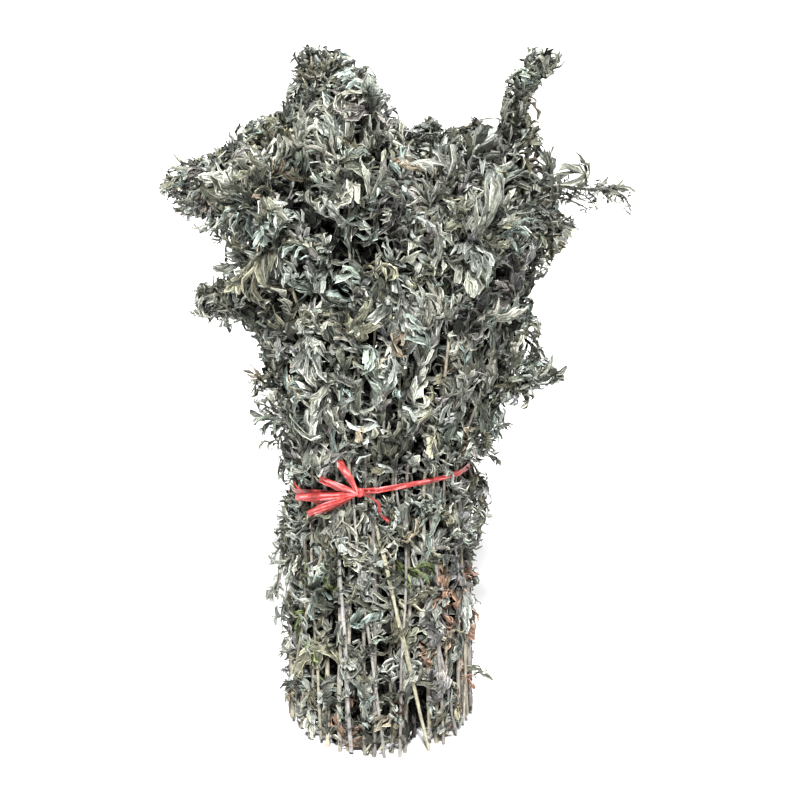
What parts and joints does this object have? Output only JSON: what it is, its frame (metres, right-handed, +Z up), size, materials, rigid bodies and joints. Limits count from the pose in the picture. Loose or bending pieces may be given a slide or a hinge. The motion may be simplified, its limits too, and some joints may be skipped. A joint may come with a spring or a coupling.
{
  "type": "bunch of dried mugwort",
  "caption": "Bunch of dried mugwort that stands on its cut stems, with shrivelled grey-green cut leaves, fanning out above a red film ribbon tied in a bow.",
  "frame": {"origin": "centre of the cut end of the middle stem, on the surface that the bunch stands on", "axes": "+Z up along the stems, -Y towards the front where the bow is, +X to the right of someone looking at the front"},
  "size_m": [0.3435, 0.2918, 0.5419],
  "materials": {
    "dried_herb": "dry, matt, crumpled grey-green leaf with a paler felted underside on grey-brown woody stems",
    "ribbon": "thin glossy red packing film, lengthwise creases"
  },
  "bodies": {
    "root": {"leafy_stem_01": "dried_herb", "leafy_stem_02": "dried_herb", "leafy_stem_03": "dried_herb", "leafy_stem_04": "dried_herb", "leafy_stem_05": "dried_herb", "leafy_stem_06": "dried_herb", "leafy_stem_07": "dried_herb", "leafy_stem_08": "dried_herb", "leafy_stem_09": "dried_herb", "leafy_stem_10": "dried_herb", "leafy_stem_11": "dried_herb", "leafy_stem_12": "dried_herb", "leafy_stem_13": "dried_herb", "leafy_stem_14": "dried_herb", "leafy_stem_15": "dried_herb", "leafy_stem_16": "dried_herb", "leafy_stem_17": "dried_herb", "leafy_stem_18": "dried_herb", "leafy_stem_19": "dried_herb", "leafy_stem_20": "dried_herb", "leafy_stem_21": "dried_herb", "leafy_stem_22": "dried_herb", "leafy_stem_23": "dried_herb", "leafy_stem_24": "dried_herb", "leafy_stem_25": "dried_herb", "leafy_stem_26": "dried_herb", "leafy_stem_27": "dried_herb", "leafy_stem_28": "dried_herb", "leafy_stem_29": "dried_herb", "leafy_stem_30": "dried_herb", "leafy_stem_31": "dried_herb", "leafy_stem_32": "dried_herb", "leafy_stem_33": "dried_herb", "leafy_stem_34": "dried_herb", "leafy_stem_35": "dried_herb", "leafy_stem_36": "dried_herb", "stem_sheaf_01": "dried_herb", "stem_sheaf_02": "dried_herb", "stem_sheaf_03": "dried_herb", "stem_sheaf_04": "dried_herb", "stem_sheaf_05": "dried_herb", "stem_sheaf_06": "dried_herb", "stem_sheaf_07": "dried_herb", "stem_sheaf_08": "dried_herb", "stem_sheaf_09": "dried_herb", "stem_sheaf_10": "dried_herb", "stem_sheaf_11": "dried_herb", "stem_sheaf_12": "dried_herb", "stem_sheaf_13": "dried_herb", "stem_sheaf_14": "dried_herb", "stem_sheaf_15": "dried_herb", "stem_sheaf_16": "dried_herb", "stem_sheaf_17": "dried_herb", "stem_sheaf_18": "dried_herb", "stem_sheaf_19": "dried_herb", "stem_sheaf_20": "dried_herb", "stem_sheaf_21": "dried_herb", "stem_sheaf_22": "dried_herb", "tie_ribbon": "ribbon"}
  },
  "joints": []
}
